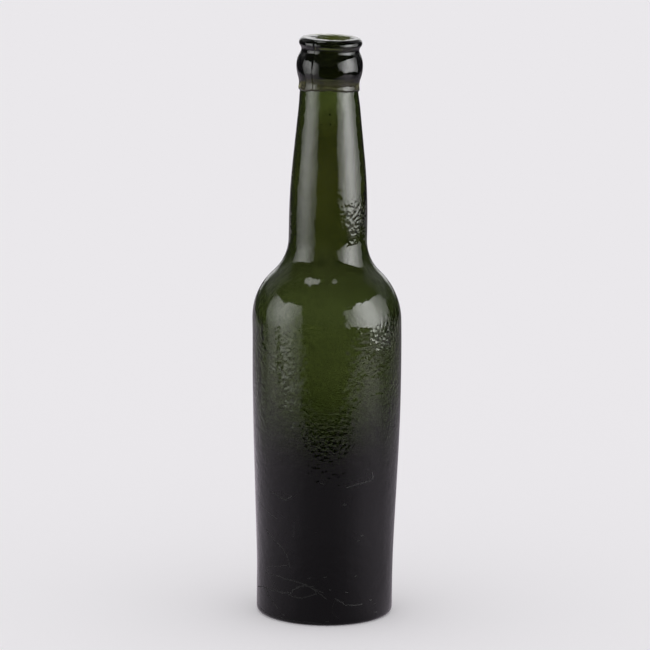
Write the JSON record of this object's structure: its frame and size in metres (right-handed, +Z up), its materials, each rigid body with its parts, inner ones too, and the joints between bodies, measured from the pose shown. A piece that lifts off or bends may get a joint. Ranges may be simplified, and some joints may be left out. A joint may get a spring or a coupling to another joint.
{
  "type": "crown-top glass bottle",
  "caption": "Mouth-blown dark olive glass bottle with a heavy foot, rounded shoulder, tapering neck and an applied crown-finish lip.",
  "frame": {"origin": "centre of the bearing ring, on the surface that the bottle stands on", "axes": "+Z up along the bottle's axis, from the base to the mouth; the bottle is a body of revolution, so X and Y are free"},
  "size_m": [0.0636, 0.0636, 0.248],
  "materials": {
    "olive_glass": "dark olive bottle glass, glossy, slightly uneven from blowing, scuffed on the lower body"
  },
  "bodies": {
    "root": {"blown_bottle": "olive_glass", "applied_lip": "olive_glass"}
  },
  "joints": []
}
